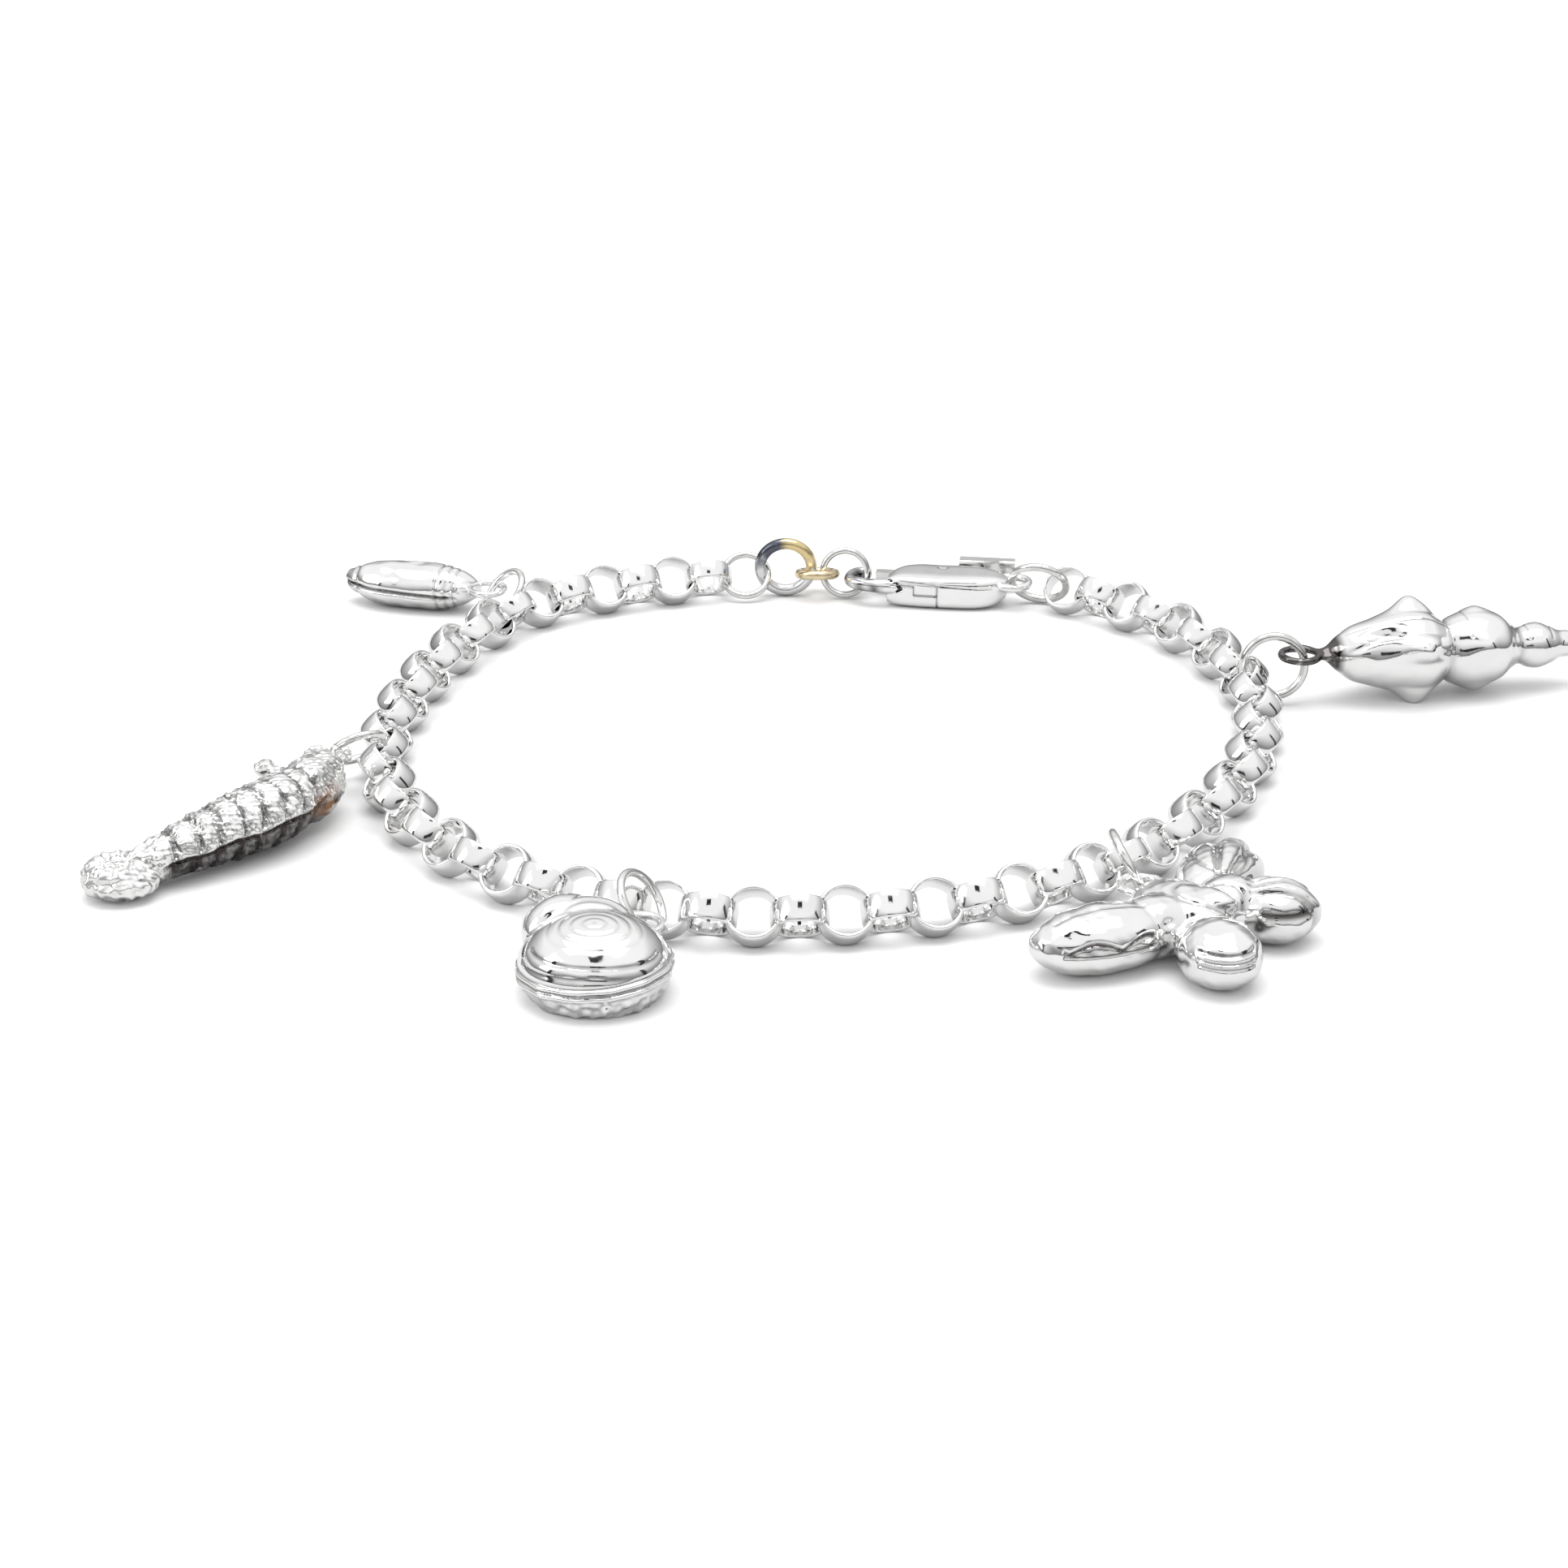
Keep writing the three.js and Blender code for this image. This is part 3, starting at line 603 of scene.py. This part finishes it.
BUTTERFLY_LOBES = (
    # x, y, half long, half wide, height, turn
    (16.1, -34.0, 4.7, 2.5, 2.1, 20),
    (24.2, -25.6, 4.4, 2.7, 2.1, 68),
    (22.9, -35.7, 3.1, 2.6, 2.0, -75),
    (27.0, -29.9, 2.9, 2.6, 2.0, -5),
)


def build_butterfly():
    parts = Parts()
    for x, y, long, wide, high, turn in BUTTERFLY_LOBES:
        parts.ellipsoid((x, y, high - 0.12), (long, wide, high), turn, 48, 80)
    parts.ellipsoid((21.2, -30.9, 2.0), (3.6, 2.7, 2.0), -45, 30, 50)
    parts.ellipsoid((19.4, -32.4, 2.0), (3.0, 2.2, 1.95), 20, 30, 50)
    parts.ellipsoid((22.8, -31.4, 3.2), (1.8, 1.1, 0.8), -30, 24, 40)
    parts.ellipsoid((24.4, -29.6, 2.2), (2.2, 2.2, 1.8), 0, 24, 40)
    add_eye(parts, BAILS["butterfly"], -52)
    obj = fuse(parts.make("fine_butterfly"), 0.095, 7)
    co = coordinates(obj)
    hub = np.array((23.4, -30.6))
    away = co[:, :2] - hub
    spread = np.linalg.norm(away, axis=1)
    bearing = np.degrees(np.arctan2(away[:, 1], away[:, 0]))
    fan = np.clip((spread - 1.8) / 0.8, 0, 1)
    petals = sum(groove(bearing - b, 3.6) for b in (-6, 12, 29, 45, 66, 84)) * fan
    valley = groove(bearing - 52, 4.5) * fan + groove(bearing + 38, 6.0) * fan
    loop_at = np.linalg.norm((co[:, :2] - (24.1, -25.7)) / (1.0, 1.35), axis=1)
    loop = groove(loop_at - 1.75, 0.13) * (bearing > 56) * (co[:, 2] > 2.2)
    side = np.array((math.cos(math.radians(20)), math.sin(math.radians(20))))
    length = (co[:, :2] - (16.1, -34.0)) @ side
    front = (co[:, :2] - (16.1, -34.0)) @ np.array((side[1], -side[0]))
    scallop = 2.2 + 0.6 * np.abs(np.sin((length + 3.0) * 0.95))
    on_left = (np.abs(length + 0.3) < 3.0) * (front > 0.3)
    slot = groove(co[:, 2] - scallop, 0.13) * on_left
    floor_line = groove(co[:, 2] - 2.0, 0.1) * on_left
    pocket = (co[:, 2] > 2.0) * (co[:, 2] < scallop) * on_left
    crease = groove(front - 0.2, 0.14) * (np.abs(length + 0.3) < 3.0) * (co[:, 2] > 2.5)
    in_front = (co[:, 1] < -36.0) * (np.abs(co[:, 0] - 23.1) < 1.7)
    lines = (groove(co[:, 2] - 2.9, 0.12) + groove(co[:, 2] - 2.5, 0.1)
             + groove(co[:, 2] - 2.2, 0.1)) * in_front
    fan_slot = groove(co[:, 2] - 2.6, 0.3) * (np.abs(bearing + 20) < 12) * (spread > 2.8)
    boss = np.linalg.norm((co[:, :2] - (22.8, -31.4)) / (1.9, 1.2), axis=1)
    halo = groove(boss - 1.15, 0.12) * (co[:, 2] > 2.6)
    waist = groove(np.linalg.norm(co[:, :2] - (20.6, -34.6), axis=1), 0.9)
    sink(obj, 0.36 * petals + 0.12 * pocket + 0.3 * valley + 0.1 * loop + 0.14 * slot + 0.05 * floor_line
         + 0.05 * crease + 0.13 * lines + 0.2 * fan_slot + 0.12 * halo
         + 0.12 * waist * (1 + lumps(co, 0.8, 3)) + 0.035 * lumps(co, 2.0, 12) + 0.02 * lumps(co, 0.9, 22))
    # Painted shade: the petal grooves, pocket, valleys, loop, slots, lines, creases, the halo round the
    # body and the waist are darkened.
    mark(obj, 0.45 * petals + 0.55 * pocket * (0.7 + 0.5 * lumps(co, 0.9, 21)) + 0.3 * valley + 0.45 * loop + 0.9 * slot + 0.5 * floor_line
         + 0.3 * crease + 0.6 * lines + 1.1 * fan_slot + 0.4 * halo + 0.25 * waist)
    finish_piece(obj, SHELL_SILVER, ["butterfly"])


def build_conch():
    start = np.array(BAILS["conch"])
    turn = math.radians(11)
    along = np.array((math.cos(turn), math.sin(turn), -0.03))
    along /= np.linalg.norm(along)
    across = np.array((-math.sin(turn), math.cos(turn), 0.0))
    over = np.cross(along, across)
    rows = spline([
        (1.2, 0.3), (2.0, 0.6), (2.8, 1.3), (3.8, 1.95), (5.2, 2.4), (6.6, 2.75), (8.0, 2.95),
        (9.2, 2.85), (10.1, 2.45), (10.7, 2.1), (11.3, 2.4), (12.4, 2.75), (13.6, 2.75),
        (14.8, 2.4), (15.6, 1.8), (16.4, 1.35), (17.1, 1.55), (18.0, 1.65), (18.9, 1.35),
        (19.6, 1.0), (20.3, 0.95), (20.9, 0.8), (21.5, 0.35),
    ], 8)
    rows = rows[rows[:, 0].argsort()]
    sides = 120
    angle = np.linspace(0, 2 * math.pi, sides, endpoint=False)
    skin = []
    for s, r in rows:
        shoulder = math.exp(-((s - 8.4) / 1.3) ** 2)
        second = math.exp(-((s - 13.2) / 0.9) ** 2)
        knob = 0.95 * shoulder * np.clip(np.cos(4 * (angle - 1.17)), 0, 1) ** 1.3
        knob += 0.25 * second * np.clip(np.cos(4 * (angle - 1.17)), 0, 1) ** 1.3
        twist = 0.1 * np.sin(angle - s * 0.8)
        reach = np.maximum(r, 0.1) * (1 + 0.35 * twist * math.exp(-((s - 11) / 7) ** 2)) + knob
        skin.append(start + along * s + (across[None] * np.cos(angle)[:, None]
                                         + over[None] * np.sin(angle)[:, None]) * reach[:, None])
    faces = [tuple(reversed(f)) for f in grid_faces(len(rows), sides)]
    last = (len(rows) - 1) * sides
    faces += [tuple(range(sides)), tuple(last + i for i in reversed(range(sides)))]
    parts = Parts().take(np.concatenate(skin), faces)
    add_eye(parts, BAILS["conch"], 11)
    tab = [start + along * s for s in (1.2, 2.0, 3.0, 4.2)]
    parts.tube(tab, [(0.9, 0.3), (0.9, 0.34), (0.9, 0.4), (1.0, 0.4)], 20)
    obj = fuse(parts.make("fine_conch_shell"), 0.1, 4)
    co = coordinates(obj)
    s = (co - start) @ along
    u = (co - start) @ across
    v = (co - start) @ over
    around = np.arctan2(v, u)
    flank = np.clip((s - 3.0) / 1.0, 0, 1) * np.clip((11.0 - s) / 0.6, 0, 1)
    seam = groove(around - 1.75 - 0.02 * s, 0.03) * flank
    lip = np.hypot((s - 5.6) / 1.7, (around - 2.2) / 0.26)
    mouth = np.clip(1.15 - lip, 0, 1)
    mouth_rim = groove(lip - 1.0, 0.13)
    wave = groove(around - 2.6 - 0.25 * np.sin(s * 0.8), 0.12) * flank
    bands = sum(groove(s - at, 0.07) for at in (12.1, 16.9, 18.7)) * (np.abs(around - 1.6) < 0.9)
    necks = groove(s - 10.7, 0.25) + groove(s - 16.3, 0.25)
    sink(obj, 0.07 * seam + 0.22 * mouth + 0.03 * mouth_rim + 0.12 * wave + 0.05 * bands
         + 0.025 * lumps(co, 2.2, 14))
    # Painted shade: the seam, the mouth and its rim, the bands and the necks between the whorls are
    # darkened; the bail end is darkened strongly.
    bail = np.clip((3.0 - s) / 0.7, 0, 1)
    mark(obj, 0.75 * seam + 0.35 * mouth_rim + 0.15 * mouth + 0.35 * bands + 0.3 * necks
         + 1.6 * bail)
    finish_piece(obj, SHELL_SILVER, ["conch_shell"])


# ------------------------------------------------------------ clasp
CLASP_TURN = -8
CLASP_PLACE = (1.7, 29.6, 0.0)


def squared_loft(parts, rows, power=0.45, sides=64):
    """A body along X through rows of (x, y, z, half wide, half high) with square shoulders."""
    rows = spline(rows, 8)
    angle = np.linspace(0, 2 * math.pi, sides, endpoint=False)
    c, d = np.cos(angle), np.sin(angle)
    c, d = np.sign(c) * np.abs(c) ** power, np.sign(d) * np.abs(d) ** power
    skin = [np.stack([0 * c + x, y + wide * c, z + high * d], -1) for x, y, z, wide, high in rows]
    faces = [tuple(reversed(f)) for f in grid_faces(len(rows), sides)]
    last = (len(rows) - 1) * sides
    faces += [tuple(range(sides)), tuple(last + i for i in reversed(range(sides)))]
    parts.take(np.concatenate(skin), [tuple(reversed(f)) for f in faces])


def build_clasp():
    """Lobster clasp: a chamfered body with its hook and tail eye, and the sprung lever."""
    parts = Parts()
    squared_loft(parts, [
        (3.5, -0.9, 1.3, 0.9, 0.95), (4.2, -0.45, 1.3, 1.5, 1.2), (5.4, -0.1, 1.3, 1.95, 1.29),
        (8.0, -0.05, 1.3, 2.04, 1.3), (10.4, 0.0, 1.3, 1.9, 1.28), (11.8, 0.0, 1.35, 1.35, 1.1),
        (12.6, 0.0, 1.5, 0.7, 0.7),
    ])
    hook = spline([
        (5.2, -1.2, 1.6, 0.62, 0.62), (3.6, -1.55, 1.65, 0.6, 0.58), (2.0, -1.5, 1.65, 0.52, 0.52),
        (0.75, -0.9, 1.65, 0.5, 0.5), (0.48, 0.15, 1.65, 0.46, 0.5), (1.0, 1.05, 1.65, 0.42, 0.48),
        (1.95, 1.3, 1.65, 0.36, 0.42),
    ], 10)
    parts.tube(hook[:, :3], [tuple(r) for r in hook[:, 3:5]], 24)
    parts.torus((13.0, 0, 1.85), (0, 0, 1), 1.3, 0.32, 48, 16)
    box = [(x, y, z) for x in (2.9, 10.6) for y in (-0.7, 3.5) for z in (0.5, 2.1)]
    quads = [(0, 1, 3, 2), (4, 6, 7, 5), (0, 4, 5, 1), (2, 3, 7, 6), (0, 2, 6, 4), (1, 5, 7, 3)]
    slot = Parts().take(box, quads).make("slot")
    obj = fuse(parts.make("fine_clasp_body"), 0.075, 3, [slot])
    co = coordinates(obj)
    x, y, z = co.T
    front = (y < -1.2) * (x > 3.8)
    marks = groove(z - 1.9, 0.06) * (x < 5.6) + groove(x - 5.6, 0.06) * (z < 1.9) * (z > 1.2)
    marks += groove(z - 1.2, 0.06) * (x > 5.6) * (x < 7.4) + groove(x - 7.4, 0.07) * (z < 2.0)
    shoulder = groove(z - 2.25 + 0.06 * (x - 4), 0.05) * (x > 4.4) * (x < 11.6)
    pinhole = groove(np.hypot(x - 7.6, y - 0.75) - 0.4, 0.06) * (np.abs(z - 1.3) > 1.0)
    sink(obj, front * (0.09 * marks + 0.04 * shoulder) + 0.05 * pinhole + 0.006 * lumps(co, 1.6, 2))
    # Painted shade: the lines, shoulder line and pin hole on the front are darkened; the hook's arms are
    # darkened in patches.
    arms = np.clip((3.4 - x) / 0.8, 0, 1)
    mark(obj, front * (0.8 * marks + 0.35 * shoulder) + 0.5 * pinhole
         + arms * np.clip(0.45 + 0.5 * lumps(co, 1.3, 5), 0, 1))
    obj.data.transform(Matrix.Translation(CLASP_PLACE)
                       @ Matrix.Rotation(math.radians(CLASP_TURN), 4, "Z"))
    finish_piece(obj, POLISHED, ["clasp_body"])
    for node in ("clasp_lever", "clasp_pin"):
        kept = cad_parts[node]
        kept.data.materials.clear()
        kept.data.materials.append(WIRE_SILVER)
        soft = kept.modifiers.new("round", "BEVEL")
        soft.width, soft.segments, soft.limit_method = 0.00015, 4, "ANGLE"
        soft.angle_limit = math.radians(25)


# ------------------------------------------------------------ stage
def build_stage():
    size = 3.0
    floor = mesh_object("floor", [(-size, -size, 0), (size, -size, 0), (size, size, 0),
                                  (-size, size, 0)], [(0, 1, 2, 3)], False)
    material, tree, shader = nodes_of("white_paper")
    shader.inputs["Base Color"].default_value = (0.93, 0.93, 0.93, 1)
    shader.inputs["Roughness"].default_value = 0.9
    shader.inputs["Specular IOR Level"].default_value = 0.1
    floor.data.materials.append(material)


def add_light(name, place, look_at, size, watts, shape="RECTANGLE"):
    data = bpy.data.lights.new(name, "AREA")
    data.energy, data.size, data.size_y, data.shape = watts, size[0], size[1], shape
    obj = bpy.data.objects.new(name, data)
    obj.location = place
    obj.rotation_euler = (Vector(look_at) - Vector(place)).to_track_quat("-Z", "Y").to_euler()
    bpy.context.scene.collection.objects.link(obj)
    return obj


def add_card(name, place, look_at, size, shade):
    """A card that only shows in reflections, as the camera's own dark opening does; the ones laid on the
    floor are painted reflections of a greyer floor than the camera sees.
    """
    w, h = size[0] / 2, size[1] / 2
    obj = mesh_object(name, [(-w, -h, 0), (w, -h, 0), (w, h, 0), (-w, h, 0)], [(0, 1, 2, 3)], False)
    obj.location = place
    obj.rotation_euler = (Vector(look_at) - Vector(place)).to_track_quat("-Z", "Y").to_euler()
    material, tree, shader = nodes_of(name)
    shader.inputs["Base Color"].default_value = (shade, shade, shade, 1)
    shader.inputs["Roughness"].default_value = 1.0
    obj.data.materials.append(material)
    obj.visible_camera = False
    obj.visible_shadow = False
    obj.visible_diffuse = False


def build_lights():
    world = bpy.data.worlds.new("tent")
    bpy.context.scene.world = world
    world.use_nodes = True
    tree = world.node_tree
    way = tree.nodes.new("ShaderNodeTexCoord")
    parted = tree.nodes.new("ShaderNodeSeparateXYZ")
    tree.links.new(way.outputs["Generated"], parted.inputs[0])
    sky = ramp(tree, parted.outputs["Z"], ((0.0, grey(0.16)), (0.22, grey(0.42)), (0.6, grey(0.95))))
    tree.links.new(sky, tree.nodes["Background"].inputs["Color"])
    tree.nodes["Background"].inputs["Strength"].default_value = 1.0
    add_light("top_softbox", (0.0, 0.05, 0.6), (0, 0, 0), (0.6, 0.4), 2.3)
    add_light("left_softbox", (-0.5, -0.15, 0.3), (0, 0, 0), (0.25, 0.35), 0.7)
    add_card("lens_card", (0.0, -0.17, 0.33), (0, 0, 0), (0.10, 0.07), 0.01)
    add_card("low_card", (0.0, -0.32, 0.10), (0, 0, 0), (0.14, 0.05), 0.01)
    add_card("left_card", (-0.34, -0.20, 0.10), (0, 0, 0), (0.06, 0.22), 0.02)
    add_card("right_card", (0.36, -0.10, 0.10), (0, 0, 0), (0.06, 0.22), 0.02)
    # Painted reflection: grey sheets on the floor, seen only in reflections, so the metal's undersides
    # mirror grey while the camera sees the white floor.
    add_card("far_table_card", (0, 0, 0.00001), (0, 0, 1), (6.0, 6.0), 0.14)
    add_card("table_card", (0, 0, 0.00002), (0, 0, 1), (0.34, 0.30), 0.62)
    bpy.context.scene.view_settings.view_transform = "Standard"


CAMERA_PLACE = (-2.98, -213.1, 90.9)
CAMERA_PITCH = 23.75
CAMERA_ANGLE = 26.52


def build_camera():
    data = bpy.data.cameras.new("camera")
    data.sensor_width = 36.0
    data.angle = math.radians(CAMERA_ANGLE)
    data.clip_start, data.clip_end = 0.01, 20.0
    obj = bpy.data.objects.new("camera", data)
    obj.location = INTO_FRAME @ Vector(CAMERA_PLACE)
    obj.rotation_euler = (math.radians(90 - CAMERA_PITCH), 0, 0)
    bpy.context.scene.collection.objects.link(obj)
    bpy.context.scene.camera = obj


build_camera()
build_stage()
build_lights()
build_chain()
build_rings()
build_olive()
build_seahorse()
build_clam()
build_butterfly()
build_conch()
build_clasp()
